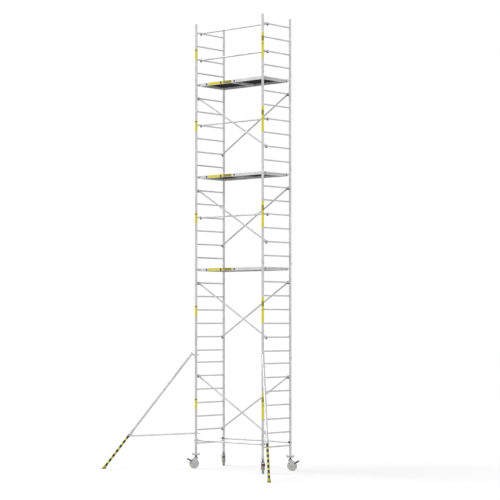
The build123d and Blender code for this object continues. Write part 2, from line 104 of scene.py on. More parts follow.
def sun(name, source, strength, spread):
    """A distant lamp shining from a direction, the same over the whole floor."""
    light = bpy.data.lights.new(name, "SUN")
    light.energy = strength
    light.angle = spread
    holder = bpy.data.objects.new(name, light)
    bpy.context.scene.collection.objects.link(holder)
    holder.rotation_euler = (-source).to_track_quat("-Z", "Y").to_euler()


sun("key_lamp", SUN_FROM, SUN_STRENGTH, SUN_SPREAD)
sun("fill_lamp", FILL_FROM, FILL_STRENGTH, SUN_SPREAD)

# Camera. It stands 35 m off, well above head height, and looks slightly up at the tower.

VIEW_YAW = radians(131.83)
VIEW_PITCH = radians(1.5846)
VIEW_DISTANCE = 35.3297
VIEW_HEIGHT = 3.0301
VIEW_ASIDE = 0.1495
SENSOR = 36.0
LENS = 123.2078
SHIFT = 0.05
VIEW_END = 400.0

camera_data = bpy.data.cameras.new("main_camera")
camera_data.sensor_width = SENSOR
camera_data.lens = LENS
camera_data.shift_y = SHIFT
camera_data.clip_end = VIEW_END
camera = bpy.data.objects.new("main_camera", camera_data)
bpy.context.scene.collection.objects.link(camera)
across = Vector((sin(VIEW_YAW), -cos(VIEW_YAW), 0.0))
level_ahead = Vector((cos(VIEW_YAW), sin(VIEW_YAW), 0.0))
stand = across * VIEW_ASIDE - level_ahead * VIEW_DISTANCE
camera.location = stand + Vector((0.0, 0.0, VIEW_HEIGHT))
ahead = level_ahead * cos(VIEW_PITCH) + Vector((0.0, 0.0, sin(VIEW_PITCH)))
camera.rotation_euler = ahead.to_track_quat("-Z", "Y").to_euler()
bpy.context.scene.camera = camera
bpy.context.scene.view_settings.view_transform = "Standard"

# End frames. Each is two drawn aluminium tubes with rungs welded between them. The tubes keep the
# fine lines of the die along their length, and the mill finish is dulled by handling and weather.

TUBE_GREY = (0.70, 0.70, 0.705, 1.0)
TUBE_DULL = (0.56, 0.56, 0.57, 1.0)
DIE_LINES = 900.0
DIE_DEPTH = 0.00006


class Wire:
    """One value in a material: the socket that gives it, with arithmetic that adds Math nodes."""

    def __init__(self, finish, socket):
        self.finish = finish
        self.socket = socket

    def math(self, operation, *values):
        inputs = dict(enumerate((self, *values)))
        return self.finish.node("ShaderNodeMath", {"operation": operation}, inputs)

    def __add__(self, other):
        return self.math("ADD", other)

    def __sub__(self, other):
        return self.math("SUBTRACT", other)

    def __rsub__(self, other):
        inputs = {0: other, 1: self}
        return self.finish.node("ShaderNodeMath", {"operation": "SUBTRACT"}, inputs)

    def __mul__(self, other):
        return self.math("MULTIPLY", other)

    def __truediv__(self, other):
        return self.math("DIVIDE", other)

    def __gt__(self, other):
        return self.math("GREATER_THAN", other)

    def __lt__(self, other):
        return self.math("LESS_THAN", other)

    def fraction(self):
        return self.math("FRACT")

    __radd__ = __add__
    __rmul__ = __mul__


class Finish:
    """A material on the Principled shader, built up from wires."""

    def __init__(self, name, **sockets):
        self.material = bpy.data.materials.new(name)
        self.material.use_nodes = True
        self.tree = self.material.node_tree
        self.shader = self.tree.nodes["Principled BSDF"]
        for socket, value in sockets.items():
            self.shader.inputs[socket.replace("_", " ").title()].default_value = value
        self.place = self.node("ShaderNodeTexCoord", output="Object")

    def node(self, kind, settings=None, inputs=None, output=0):
        made = self.tree.nodes.new(kind)
        for setting, value in (settings or {}).items():
            setattr(made, setting, value)
        for name, value in (inputs or {}).items():
            if isinstance(value, Wire):
                self.tree.links.new(value.socket, made.inputs[name])
            else:
                made.inputs[name].default_value = value
        return Wire(self, made.outputs[output])

    def axis(self, name):
        return self.node("ShaderNodeSeparateXYZ", inputs={0: self.place}, output=name)

    def noise(self, scale, stretch=(1.0, 1.0, 1.0), detail=3.0):
        spot = self.node("ShaderNodeMapping", inputs={"Vector": self.place, "Scale": stretch})
        inputs = {"Vector": spot, "Scale": scale, "Detail": detail}
        return self.node("ShaderNodeTexNoise", inputs=inputs, output=0)

    def spread(self, value, low, high, to_low=0.0, to_high=1.0):
        inputs = {"Value": value, "From Min": low, "From Max": high,
                  "To Min": to_low, "To Max": to_high}
        return self.node("ShaderNodeMapRange", inputs=inputs)

    def mix(self, factor, first, second):
        inputs = {0: factor, 6: first, 7: second}
        return self.node("ShaderNodeMix", {"data_type": "RGBA"}, inputs, output=2)

    def feed(self, socket, wire):
        self.tree.links.new(wire.socket, self.shader.inputs[socket])

    def bump(self, height, depth):
        inputs = {"Height": height, "Distance": depth, "Strength": 1.0}
        self.feed("Normal", self.node("ShaderNodeBump", inputs=inputs))


def drawn_aluminium(name, bright, dull, stretch):
    """Mill-finish tube: die lines along its length, dull patches and small scuffs."""
    finish = Finish(name, metallic=0.55)
    lines = finish.noise(DIE_LINES, stretch, detail=2.0)
    patches = finish.noise(7.0, detail=4.0)
    scuffs = finish.spread(finish.noise(60.0, detail=6.0), 0.62, 0.72)
    dullness = finish.spread(patches, 0.35, 0.7) + scuffs * 0.4
    finish.feed("Base Color", finish.mix(dullness, bright, dull))
    finish.feed("Roughness", finish.spread(lines, 0.3, 0.7, 0.3, 0.42) + scuffs * 0.15)
    finish.bump(lines, DIE_DEPTH)
    return finish.material


def dress(nodes, material):
    """Give CAD nodes their finish."""
    for name in nodes:
        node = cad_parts[name]
        node.data.materials.clear()
        node.data.materials.append(material)


frame_names = [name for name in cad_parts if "_frame_" in name]
upright_metal = drawn_aluminium("drawn_upright_aluminium", TUBE_GREY, TUBE_DULL, (1.0, 1.0, 0.01))
dress(frame_names, upright_metal)

# Weld beads. Every rung is welded all round where it meets the upright, so each joint carries a
# rippled ring of filler that follows the saddle between the two tubes.

UPRIGHT_R = 0.025
RUNG_R = 0.015
BEAD_R = 0.0024
BEAD_STEPS = 28
BEAD_SIDES = 6
BEAD_RIPPLES = 9
RIPPLE_RISE = 0.16
WELD_GREY = (0.36, 0.36, 0.37, 1.0)


def tidy(piece, name, material, body):
    """Name a finished piece, move its place into its mesh, and hang it on its CAD body."""
    bpy.ops.object.select_all(action="DESELECT")
    piece.select_set(True)
    bpy.context.view_layer.objects.active = piece
    bpy.ops.object.transform_apply(location=True, rotation=True, scale=True)
    piece.name = name
    piece.data.materials.clear()
    piece.data.materials.append(material)
    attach(piece, body)
    return piece


def copies(master, places):
    """Copy a modelled piece to each place, then join the copies into one object."""
    made = []
    for place in places:
        copy = master.copy()
        copy.data = master.data.copy()
        copy.data.transform(place)
        bpy.context.scene.collection.objects.link(copy)
        made.append(copy)
    bpy.data.objects.remove(master)
    bpy.ops.object.select_all(action="DESELECT")
    for copy in made:
        copy.select_set(True)
    bpy.context.view_layer.objects.active = made[0]
    if len(made) > 1:
        bpy.ops.object.join()
    return made[0]


def weld_bead():
    """Ring round a rung lying along Y, saddled on an upright at the origin, on its +Y side."""
    bpy.ops.mesh.primitive_torus_add(
        major_radius=RUNG_R + 0.5 * BEAD_R, minor_radius=BEAD_R,
        major_segments=BEAD_STEPS, minor_segments=BEAD_SIDES, rotation=(pi / 2, 0.0, 0.0))
    bead = bpy.context.object
    bpy.ops.object.transform_apply(rotation=True)
    for point in bead.data.vertices:
        turn = atan2(point.co.z, point.co.x)
        ripple = 1.0 + RIPPLE_RISE * abs(sin(turn * BEAD_RIPPLES))
        saddle = sqrt(UPRIGHT_R ** 2 - min(abs(point.co.x), UPRIGHT_R) ** 2)
        point.co.y = point.co.y * ripple + saddle
    bpy.ops.object.shade_smooth()
    return bead


weld = Finish("weld_bead_aluminium", metallic=0.6, base_color=WELD_GREY)
weld_heat = weld.noise(140.0, detail=3.0)
weld.feed("Roughness", weld.spread(weld_heat, 0.3, 0.7, 0.38, 0.6))
weld.feed("Base Color", weld.mix(weld_heat, WELD_GREY, TUBE_GREY))
weld.bump(weld_heat, 0.0002)

RUNG_PITCH = 0.280
FIRST_RUNG = 0.520
STACK = 1.930
FULL_RUNGS = 7
TOP_RUNGS = 4
LEVELS = 5
frame_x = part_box("right_frame_1")[1].x - UPRIGHT_R
upright_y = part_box("left_frame_1")[1].y - UPRIGHT_R


def rung_height(number):
    """Height of a rung, counted from 1 at the bottom."""
    level, step = divmod(number - 1, FULL_RUNGS)
    return FIRST_RUNG + level * STACK + step * RUNG_PITCH


for side, side_name in ((-1, "left"), (1, "right")):
    for number in range(1, LEVELS + 1):
        count = FULL_RUNGS if number < LEVELS else TOP_RUNGS
        first = (number - 1) * FULL_RUNGS + 1
        spots = []
        for rung in range(first, first + count):
            for end, turn in ((-1, 0.0), (1, pi)):
                joint = Matrix.Translation((side * frame_x, end * upright_y, rung_height(rung)))
                spots.append(joint @ Matrix.Rotation(turn, 4, "Z"))
        tidy(copies(weld_bead(), spots), f"{side_name}_frame_{number}_welds", weld.material,
             "tower")

# Upright labels. A printed yellow sleeve is wrapped round the middle of each near upright: long
# ones on the front upright and short ones on the left. Plain dark bars take the place of print.

LABEL_YELLOW = (0.88, 0.80, 0.03, 1.0)
LABEL_FADED = (0.80, 0.76, 0.12, 1.0)
LABEL_INK = (0.025, 0.022, 0.01, 1.0)
LABEL_PROUD = 0.0004
LABEL_GAP = 0.0001
LABEL_DROP = 0.020
LABEL_RUNG = 4
TOP_LABEL_RUNG = 30
TOP_LABEL_RISE = 0.110
LONG_LABEL = 0.525
LONG_BLOCK = (0.17, 0.37)
LONG_FOOT = (0.03, 0.045)
BAR_STEP = 0.026
BAR_GAP = 0.35
SHORT_LABEL = 0.230
SHORT_BAND = (0.150, 0.190)


def sleeve(x, y, low, high, radius):
    """Thin printed film round an upright."""
    bpy.ops.mesh.primitive_cylinder_add(
        vertices=48, radius=radius, depth=high - low, end_fill_type="NOTHING",
        location=(x, y, (low + high) / 2))
    film = bpy.context.object
    thick = film.modifiers.new("film", "SOLIDIFY")
    thick.thickness = LABEL_PROUD
    thick.offset = 1.0
    bpy.ops.object.modifier_apply(modifier="film")
    bpy.ops.object.shade_smooth_by_angle(angle=radians(40))
    return film


def label_print(name, marks):
    """Yellow film with dark marks; marks makes their mask from the height on the label."""
    finish = Finish(name, roughness=0.35)
    fade = finish.noise(30.0, detail=4.0)
    yellow = finish.mix(finish.spread(fade, 0.4, 0.7, 0.0, 0.25), LABEL_YELLOW, LABEL_FADED)
    finish.feed("Base Color", finish.mix(marks(finish), yellow, LABEL_INK))
    finish.feed("Roughness", finish.spread(fade, 0.3, 0.7, 0.3, 0.45))
    return finish.material


def print_height(finish, length):
    """Height above the label's lower end, in metres. The film fills the map's upper half."""
    across_film = finish.node("ShaderNodeUVMap")
    along = finish.node("ShaderNodeSeparateXYZ", inputs={0: across_film}, output="Y")
    return (along - 0.5) * 2.0 * length


def long_marks(finish):
    """A block of short bars in the middle of the label, and a bar at its lower end."""
    height = print_height(finish, LONG_LABEL)
    block = (height > LONG_BLOCK[0]) * (height < LONG_BLOCK[1])
    bars = (height / BAR_STEP).fraction() > BAR_GAP
    foot = (height > LONG_FOOT[0]) * (height < LONG_FOOT[1])
    return block * bars + foot


def short_marks(finish):
    """One dark band near the top."""
    height = print_height(finish, SHORT_LABEL)
    return (height > SHORT_BAND[0]) * (height < SHORT_BAND[1])


def label_middle(number):
    """Height of the middle of a frame's labels, which the short top frame has further down."""
    if number == LEVELS:
        return rung_height(TOP_LABEL_RUNG) + TOP_LABEL_RISE
    return rung_height((number - 1) * FULL_RUNGS + LABEL_RUNG) - LABEL_DROP


long_print = label_print("long_label_film", long_marks)
short_print = label_print("short_label_film", short_marks)
for number in range(1, LEVELS + 1):
    middle = label_middle(number)
    for x, half, film, name in ((frame_x, LONG_LABEL / 2, long_print, "front"),
                                (-frame_x, SHORT_LABEL / 2, short_print, "left")):
        wrap = sleeve(x, -upright_y, middle - half, middle + half, UPRIGHT_R + LABEL_GAP)
        tidy(wrap, f"{name}_upright_label_{number}", film, "tower")

# Spigots and joint pins. Short turned tubes join the uprights and stand out of the top ones. The
# pins are zinc-plated steel with a flat head, pushed through from outside.

SPIGOT_GREY = (0.52, 0.52, 0.53, 1.0)
ZINC_GREY = (0.50, 0.49, 0.45, 1.0)
ZINC_DARK = (0.33, 0.32, 0.28, 1.0)


def plain_metal(name, colour, dark, low_rough, high_rough, metallic=0.7):
    """Worked metal: cloudy colour, fine grain and a slightly uneven gloss."""
    finish = Finish(name, metallic=metallic)
    cloud = finish.noise(45.0, detail=5.0)
    grain = finish.noise(700.0, detail=2.0)
    finish.feed("Base Color", finish.mix(finish.spread(cloud, 0.35, 0.7), colour, dark))
    finish.feed("Roughness", finish.spread(cloud, 0.3, 0.7, low_rough, high_rough))
    finish.bump(grain, 0.00005)
    return finish.material


spigot_metal = plain_metal("turned_spigot_aluminium", SPIGOT_GREY, TUBE_DULL, 0.25, 0.4)
pin_steel = plain_metal("zinc_pin_steel", ZINC_GREY, ZINC_DARK, 0.3, 0.5, 0.9)
dress(["joint_spigots"], spigot_metal)
dress(["joint_pins"], pin_steel)

# Braces and guard rails. Drawn aluminium tubes riveted into cast claws that hook over the rungs.
# The die lines run along the tubes, which lie level or slant up and down the long sides.

BRACE_GREY = (0.72, 0.72, 0.725, 1.0)
brace_metal = drawn_aluminium("drawn_brace_aluminium", BRACE_GREY, TUBE_DULL, (0.02, 1.0, 1.0))
dress(["guard_rails", "base_braces", "near_diagonals", "far_diagonals"], brace_metal)

RIVET_GREY = (0.42, 0.42, 0.43, 1.0)
RIVET_DARK = (0.25, 0.25, 0.26, 1.0)
RIVET_R = 0.0045
RIVET_DOME = 0.55
RIVET_SUNK = 0.0008
RIVET_AT = (0.062, 0.080)
SHANK_R = 0.019
HIGH_RUNGS = (6, 13, 20, 27)
LOW_RUNGS = (2, 9, 16, 23)
RAIL_RUNGS = (18, 25, 30, 32)
NEAR_INSET = (0.072, 0.110)
FAR_INSET = (0.045, 0.065)
RAIL_INSET = 0.150


def rivet(radius):
    """Low domed rivet head on the +Z side of the origin."""
    bpy.ops.mesh.primitive_uv_sphere_add(segments=12, ring_count=8, radius=radius)
    dome = bpy.context.object
    bpy.ops.object.mode_set(mode="EDIT")
    bpy.ops.mesh.select_all(action="SELECT")
    bpy.ops.mesh.bisect(
        plane_co=(0.0, 0.0, 0.0), plane_no=(0.0, 0.0, 1.0), clear_inner=True, use_fill=True)
    bpy.ops.object.mode_set(mode="OBJECT")
    dome.data.transform(Matrix.Diagonal((1.0, 1.0, RIVET_DOME, 1.0)))
    bpy.ops.object.shade_smooth_by_angle(angle=radians(50))
    return dome


def brace_ends(name):
    """The two ends of each brace of a set, on the axes of the rungs that it hooks on."""
    if name == "near_diagonals":
        insets = [-upright_y + inset for inset in NEAR_INSET]
        rungs = zip(HIGH_RUNGS, LOW_RUNGS)
    elif name == "far_diagonals":
        insets = [upright_y - inset for inset in FAR_INSET]
        rungs = zip(LOW_RUNGS, HIGH_RUNGS)
    else:
        insets = [-upright_y + RAIL_INSET] * 2
        rungs = zip(RAIL_RUNGS, RAIL_RUNGS)
    for left, right in rungs:
        start = Vector((-frame_x, insets[0], rung_height(left)))
        yield start, Vector((frame_x, insets[1], rung_height(right)))


rivet_metal = plain_metal("rivet_steel", RIVET_GREY, RIVET_DARK, 0.3, 0.45, 0.9)
for name in ("near_diagonals", "far_diagonals", "guard_rails"):
    spots = []
    for start, end in brace_ends(name):
        toward = (end - start).normalized()
        for origin, way in ((start, toward), (end, -toward)):
            for along in RIVET_AT:
                for face in (-1, 1):
                    out = Vector((0.0, face, 0.0))
                    out = (out - way * out.dot(way)).normalized()
                    turn = out.to_track_quat("Z", "X").to_matrix().to_4x4()
                    seat = origin + way * along + out * (SHANK_R - RIVET_SUNK)
                    spots.append(Matrix.Translation(seat) @ turn)
    tidy(copies(rivet(RIVET_R), spots), f"{name}_rivets", rivet_metal, "tower")

# Latches and wind locks. Moulded dark red nylon triggers close the claws under the rungs. The ones
# on the base braces are longer and black, and so are the wind locks under the decks' hooks.

LATCH_RED = (0.055, 0.012, 0.012, 1.0)
LATCH_RED_WORN = (0.10, 0.03, 0.03, 1.0)
LATCH_BLACK = (0.012, 0.012, 0.013, 1.0)
LATCH_BLACK_WORN = (0.04, 0.04, 0.042, 1.0)
DECKS = (1, 2, 3)


def moulded(name, colour, pale, low_rough, high_rough, grain=0.0001):
    """Moulded plastic: faint cloud in the colour, fine spark-eroded texture."""
    finish = Finish(name)
    cloud = finish.noise(35.0, detail=5.0)
    texture = finish.noise(1100.0, detail=2.0)
    finish.feed("Base Color", finish.mix(finish.spread(cloud, 0.4, 0.75), colour, pale))
    finish.feed("Roughness", finish.spread(cloud, 0.3, 0.7, low_rough, high_rough))
    finish.bump(texture, grain)
    return finish.material


latch_nylon = moulded("latch_nylon_dark_red", LATCH_RED, LATCH_RED_WORN, 0.4, 0.6)
base_nylon = moulded("latch_nylon_black", LATCH_BLACK, LATCH_BLACK_WORN, 0.4, 0.6)
dress(["near_diagonals_latches", "far_diagonals_latches", "guard_rails_latches"], latch_nylon)
dress(["base_braces_latches"] + [f"deck_{number}_wind_locks" for number in DECKS], base_nylon)

# Decks. An aluminium frame of hollow beams with cast hooks, and two boards of film-faced plywood:
# smooth and black below, with a pressed anti-slip net above and brown plies at the cut edges.

DECK_GREY = (0.80, 0.80, 0.805, 1.0)
FILM_BLACK = (0.004, 0.004, 0.005, 1.0)
FILM_WORN = (0.018, 0.017, 0.016, 1.0)
FILM_SHINE = 0.08
PLY_PALE = (0.42, 0.28, 0.15, 1.0)
PLY_DARK = (0.20, 0.12, 0.06, 1.0)
NET_PITCH = 0.009
NET_CORD = 0.28
NET_PROUD = 0.0004
PLY_LAYER = 0.0022

deck_metal = drawn_aluminium("extruded_deck_aluminium", DECK_GREY, TUBE_GREY, (0.015, 1.0, 1.0))
dress([f"deck_{number}_frame" for number in DECKS], deck_metal)

film = Finish("film_faced_plywood")
normal = film.node("ShaderNodeTexCoord", output="Normal")
facing = film.node("ShaderNodeSeparateXYZ", inputs={0: normal}, output="Z")
top_face = facing > 0.5
cut_edge = facing.math("ABSOLUTE") < 0.5
slant = film.axis("X") + film.axis("Y")
counter = film.axis("X") - film.axis("Y")
slant_cord = (slant / NET_PITCH).fraction() < NET_CORD
counter_cord = (counter / NET_PITCH).fraction() < NET_CORD
net = slant_cord.math("MAXIMUM", counter_cord)
plies = (film.axis("Z") / PLY_LAYER).fraction() > 0.5
wear = film.spread(film.noise(4.0, detail=6.0), 0.45, 0.75)
board = film.mix(wear * 0.5 + net * top_face * 0.25, FILM_BLACK, FILM_WORN)
film.feed("Base Color", film.mix(cut_edge, board, film.mix(plies, PLY_PALE, PLY_DARK)))
film.feed("Roughness", wear * 0.15 + cut_edge * 0.1 + 0.70)
film.shader.inputs["Specular IOR Level"].default_value = FILM_SHINE
film.bump(net * top_face, NET_PROUD)
dress([f"deck_{number}_{part}" for number in DECKS for part in ("panel", "hatch")], film.material)

# Deck fittings. Butt hinges carry each hatch on its far side, and rivets hold the fixed board.

HINGE_AT = (-0.76, -0.45, -0.14)
HINGE_BESIDE = 0.001
HINGE_ABOVE = 0.0003
HINGE_LENGTH = 0.07
HINGE_LEAF = 0.026
HINGE_R = 0.004
LEAF_WALL = 0.0015
LEAF_ROUND = 0.0005
SCREW_R = 0.0035
SCREWS = (-0.3, 0.3)
SCREW_REACH = 0.6
KNUCKLES = {-1: (-0.2, 0.2), 1: (-0.4, 0.0, 0.4)}
KNUCKLE_SHARE = 0.19
BOARD_RIVET_R = 0.005
BOARD_RIVETS = 7
BOARD_RIVET_IN = (0.014, 0.018)


def hinge_leaf(side):
    """One rounded leaf, lying flat beside the pin at the origin, with its knuckles and screws."""
    bpy.ops.mesh.primitive_cube_add(size=1.0, location=(0.0, side * HINGE_LEAF / 2, LEAF_WALL / 2))
    leaf = bpy.context.object
    leaf.scale = (HINGE_LENGTH, HINGE_LEAF, LEAF_WALL)
    bpy.ops.object.transform_apply(location=True, scale=True)
    bpy.ops.object.mode_set(mode="EDIT")
    bpy.ops.mesh.select_all(action="SELECT")
    bpy.ops.mesh.bevel(offset=LEAF_ROUND, segments=2)
    bpy.ops.object.mode_set(mode="OBJECT")
    parts = [leaf]
    for x in SCREWS:
        head = rivet(SCREW_R)
        spot = (x * HINGE_LENGTH, side * HINGE_LEAF * SCREW_REACH, LEAF_WALL)
        head.data.transform(Matrix.Translation(spot))
        parts.append(head)
    for x in KNUCKLES[side]:
        bpy.ops.mesh.primitive_cylinder_add(
            vertices=20, radius=HINGE_R, depth=HINGE_LENGTH * KNUCKLE_SHARE,
            location=(x * HINGE_LENGTH, 0.0, 0.0), rotation=(0.0, pi / 2, 0.0))
        knuckle = bpy.context.object
        bpy.ops.object.transform_apply(location=True, rotation=True)
        parts.append(knuckle)
    bpy.ops.object.select_all(action="DESELECT")
    for part in parts:
        part.select_set(True)
    bpy.context.view_layer.objects.active = leaf
    bpy.ops.object.join()
    bpy.ops.object.shade_smooth_by_angle(angle=radians(35))
    return leaf


for number in DECKS:
    hatch_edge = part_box(f"deck_{number}_hatch")[1]
    pin_y = hatch_edge.y + HINGE_BESIDE
    pin_z = hatch_edge.z + HINGE_ABOVE
    for side, body, name in ((-1, f"deck_{number}_hatch", "hatch"), (1, "tower", "beam")):
        spots = [Matrix.Translation((x, pin_y, pin_z)) for x in HINGE_AT]
        tidy(copies(hinge_leaf(side), spots), f"deck_{number}_hinge_{name}_leaves", rivet_metal,
             body)
    panel_low, panel_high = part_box(f"deck_{number}_panel")
    spots = []
    for step in range(BOARD_RIVETS):
        share = (step + 0.5) / BOARD_RIVETS
        for x in (panel_low.x + BOARD_RIVET_IN[0], panel_high.x - BOARD_RIVET_IN[1]):
            y = panel_low.y + share * (panel_high.y - panel_low.y)
            spots.append(Matrix.Translation((x, y, hatch_edge.z)))
    tidy(copies(rivet(BOARD_RIVET_R), spots), f"deck_{number}_board_rivets", rivet_metal,
         "tower")

# Deck labels. A yellow film on the near side beam with plain dark bars, and a black plug in the
# beam beyond each of its ends.

DECK_LABEL = (-0.617, 0.050)
LABEL_YELLOW_WORN = (0.82, 0.80, 0.16, 1.0)
LABEL_THICK = 0.0005
LABEL_SUNK = 0.0003
LABEL_ROUND = 0.006
DOT_AT = -0.264
DOT_HALF = 0.020
DECK_BARS = (-0.190, 0.030)
DECK_BAR_STEP = 0.022
DECK_BAR_GAP = 0.38
PLUG_AT = (-0.666, 0.109)
PLUG_R = 0.021
BEAM_DEPTH = 0.058
BEAM_RISE = 0.020
DECK_RUNGS = (14, 21, 28)

deck_print = Finish("deck_label_film", roughness=0.35)
along = deck_print.axis("X")
block = (along > DECK_BARS[0]) * (along < DECK_BARS[1])
bars = block * ((along / DECK_BAR_STEP).fraction() > DECK_BAR_GAP)
dot = (along - DOT_AT).math("ABSOLUTE") < DOT_HALF
fade = deck_print.spread(deck_print.noise(30.0, detail=4.0), 0.4, 0.7, 0.0, 0.25)
yellow = deck_print.mix(fade, LABEL_YELLOW, LABEL_YELLOW_WORN)
deck_print.feed("Base Color", deck_print.mix(bars + dot, yellow, LABEL_INK))
deck_print.feed("Roughness", fade * 0.5 + 0.32)
plug_black = moulded("beam_plug_black", LATCH_BLACK, LATCH_BLACK_WORN, 0.4, 0.6)

for number, rung in enumerate(DECK_RUNGS, 1):
    beam_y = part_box(f"deck_{number}_frame")[0].y
    middle = rung_height(rung) + BEAM_RISE - BEAM_DEPTH / 2
    bpy.ops.mesh.primitive_cube_add(
        size=1.0, location=(sum(DECK_LABEL) / 2, beam_y - LABEL_SUNK, middle))
    label = bpy.context.object
    label.scale = (DECK_LABEL[1] - DECK_LABEL[0], LABEL_THICK, BEAM_DEPTH - LABEL_ROUND)
    bpy.ops.object.transform_apply(location=True, scale=True)
    bpy.ops.object.mode_set(mode="EDIT")
    bpy.ops.mesh.select_all(action="DESELECT")
    bpy.ops.object.mode_set(mode="OBJECT")
    for edge in label.data.edges:
        ends = [label.data.vertices[index].co for index in edge.vertices]
        edge.select = abs(ends[0].y - ends[1].y) > LABEL_THICK / 2
    bpy.ops.object.mode_set(mode="EDIT")
    bpy.ops.mesh.select_mode(type="EDGE")
    bpy.ops.mesh.bevel(offset=LABEL_ROUND, segments=5)
    bpy.ops.object.mode_set(mode="OBJECT")
    tidy(label, f"deck_{number}_label", deck_print.material, "tower")
    outward = Matrix.Rotation(pi / 2, 4, "X")
    plugs = [Matrix.Translation((x, beam_y, middle)) @ outward for x in PLUG_AT]
    tidy(copies(rivet(PLUG_R), plugs), f"deck_{number}_beam_plugs", plug_black,
         "tower")

# Castor legs. A blackened screw with a swivel race under it, run through a cast wing nut that
# carries the upright. There is one at the foot of each upright, turned straight out.

CORNERS = {"left": (-1, -1), "back": (-1, 1), "front": (1, -1), "right": (1, 1)}
STEM_R = 0.018
THREAD_LOW = 0.2405
THREAD_TURNS = 4
THREAD_PITCH = 0.007
THREAD_RIDGE = ((0.0002, 0.001), (0.0018, 0.0025), (0.0018, 0.0045), (0.0002, 0.006))
THREAD_SUNK = 0.001
NUT_R = 0.031
NUT_LOW = 0.270
NUT_TOP = 0.300
NUT_FLUTES = 14
FLUTE_HALF = 0.002
FLUTE_SUNK = 0.001
FLUTE_PROUD = 0.0016
FLUTE_SHORT = 0.003
WING_CLEAR = 0.3
SMALL_ROUND = 0.0008
FLANGE_R = 0.034
RACE = ((FLANGE_R - 0.002, 0.2290), (FLANGE_R + 0.003, 0.2290), (FLANGE_R + 0.004, 0.2305),
        (FLANGE_R + 0.004, 0.2355), (FLANGE_R + 0.002, 0.2380), (FLANGE_R - 0.002, 0.2385))
SCREW_BLACK = (0.055, 0.055, 0.06, 1.0)
SCREW_WORN = (0.10, 0.10, 0.105, 1.0)
RACE_GREY = (0.42, 0.42, 0.42, 1.0)
RACE_DARK = (0.28, 0.28, 0.28, 1.0)
IRON_GREY = (0.55, 0.55, 0.54, 1.0)
IRON_DARK = (0.38, 0.38, 0.37, 1.0)


def corner_place(corner):
    """From a corner's own axes, with +X straight out from the tower, to the tower's."""
    side_x, side_y = CORNERS[corner]
    foot = Vector((side_x * frame_x, side_y * upright_y, 0.0))
    return Matrix.Translation(foot) @ Matrix.Rotation(atan2(side_y, side_x), 4, "Z")


def turned(outline, segments=48):
    """Ring turned about Z from a closed outline of (radius, height) points, anticlockwise."""
    count = len(outline)
    points = []
    faces = []
    for step in range(segments):
        turn = 2 * pi * step / segments
        points += [(radius * cos(turn), radius * sin(turn), height) for radius, height in outline]
        this, following = step * count, (step + 1) % segments * count
        for low in range(count):
            high = (low + 1) % count
            faces.append((this + low, following + low, following + high, this + high))
    mesh = bpy.data.meshes.new("turned")
    mesh.from_pydata(points, [], faces)
    ring = bpy.data.objects.new("turned", mesh)
    bpy.context.scene.collection.objects.link(ring)
    bpy.ops.object.select_all(action="DESELECT")
    ring.select_set(True)
    bpy.context.view_layer.objects.active = ring
    bpy.ops.object.shade_smooth_by_angle(angle=radians(35))
    return ring


def slab(low, high, round_off=0.0):
    """Block between two corners, with its edges rounded."""
    bpy.ops.mesh.primitive_cube_add(size=1.0)
    piece = bpy.context.object
    middle = Matrix.Translation((Vector(low) + Vector(high)) / 2)
    size = Matrix.Diagonal((*(Vector(high) - Vector(low)), 1.0))
    piece.data.transform(middle @ size)
    if round_off:
        bpy.ops.object.mode_set(mode="EDIT")
        bpy.ops.mesh.select_all(action="SELECT")
        bpy.ops.mesh.bevel(offset=round_off, segments=2)
        bpy.ops.object.mode_set(mode="OBJECT")
    return piece


def thread_outline():
    """Trapezoid ridges up the screw, closed down its inside."""
    outline = [(STEM_R - THREAD_SUNK, THREAD_LOW)]
    for turn in range(THREAD_TURNS):
        foot = THREAD_LOW + turn * THREAD_PITCH
        outline += [(STEM_R + proud, foot + height) for proud, height in THREAD_RIDGE]
    return outline + [(STEM_R - THREAD_SUNK, THREAD_LOW + THREAD_TURNS * THREAD_PITCH)]


leg_steel = plain_metal("blackened_screw_steel", SCREW_BLACK, SCREW_WORN, 0.35, 0.55)
race_steel = plain_metal("swivel_race_steel", RACE_GREY, RACE_DARK, 0.3, 0.5, 0.9)
nut_iron = plain_metal("cast_wing_nut", IRON_GREY, IRON_DARK, 0.35, 0.5)
dress([f"castor_leg_{corner}" for corner in CORNERS], leg_steel)
dress([f"leg_nut_{corner}" for corner in CORNERS], nut_iron)

for corner in CORNERS:
    place = corner_place(corner)
    body = f"castor_leg_{corner}"
    tidy(copies(turned(thread_outline()), [place]), f"leg_thread_{corner}", leg_steel,
         body)
    tidy(copies(turned(RACE), [place]), f"swivel_race_{corner}", race_steel, body)
    spots = []
    for step in range(NUT_FLUTES):
        turn = 2 * pi * (step + 0.5) / NUT_FLUTES
        if abs(sin(turn)) > WING_CLEAR:
            spots.append(place @ Matrix.Rotation(turn, 4, "Z"))
    flute = slab((NUT_R - FLUTE_SUNK, -FLUTE_HALF, NUT_LOW + FLUTE_SHORT),
                 (NUT_R + FLUTE_PROUD, FLUTE_HALF, NUT_TOP - FLUTE_SHORT), SMALL_ROUND)
    tidy(copies(flute, spots), f"nut_flutes_{corner}", nut_iron, f"leg_nut_{corner}")

# Castors. An off-white moulded wheel with ribs between hub and tread, in a pressed grey fork. The
# tread picks up grey dirt from the floor. A dark red foot pedal with a ribbed tread locks it.

